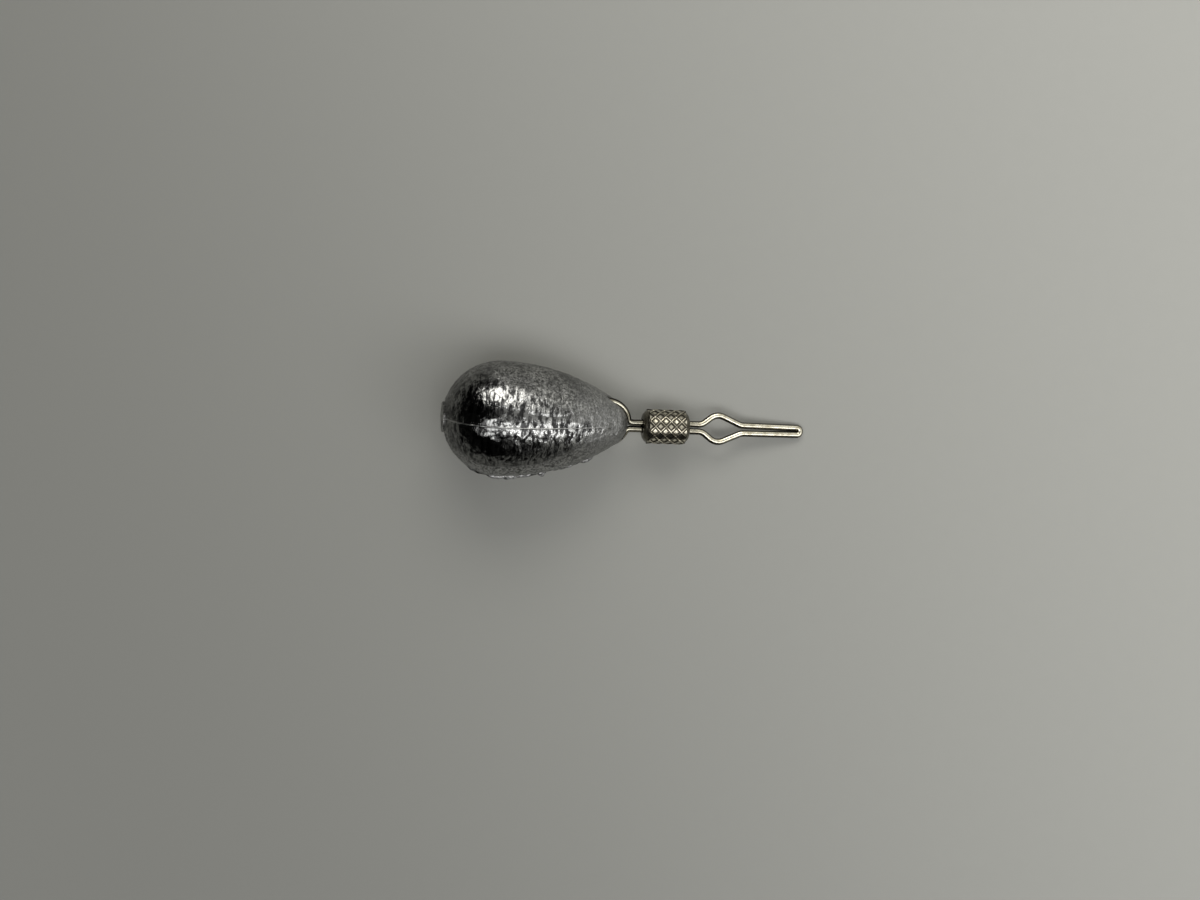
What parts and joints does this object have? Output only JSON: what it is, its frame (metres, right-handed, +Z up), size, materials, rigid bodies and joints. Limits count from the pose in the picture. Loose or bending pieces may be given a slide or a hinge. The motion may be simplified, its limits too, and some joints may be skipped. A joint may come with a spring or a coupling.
{
  "type": "fishing sinker",
  "caption": "Teardrop lead fishing weight with a cast-in wire eye, joined through a knurled barrel swivel to a pinched wire clip that grips the line.",
  "frame": {"origin": "under the middle of the object, on the surface that it lies on", "axes": "+X from the dome of the lead towards the tip of the clip, +Z up, so +Y is to the left when looking along +X"},
  "size_m": [0.0336, 0.0107, 0.0107],
  "materials": {
    "lead_body": "cast lead, dull grey with a crinkled skin",
    "lower_eye": "drawn wire, tinned, slightly tarnished",
    "swivel_barrel": "nickel plated, knurled",
    "line_clip": "drawn wire, tinned"
  },
  "bodies": {
    "weight": {"lead_body": "lead_body", "lower_eye": "lower_eye"},
    "barrel": {"swivel_barrel": "swivel_barrel"},
    "clip": {"line_clip": "line_clip"}
  },
  "joints": [
    {"name": "barrel_spin", "type": "hinge", "parent": "weight", "child": "barrel", "pos_m": [0.00382, -0.00016, 0.00272], "axis": [0.9824, 0, -0.1867], "continuous": true},
    {"name": "clip_spin", "type": "hinge", "parent": "barrel", "child": "clip", "pos_m": [0.00724, -0.00016, 0.00207], "axis": [0.9824, 0, -0.1867], "continuous": true}
  ]
}
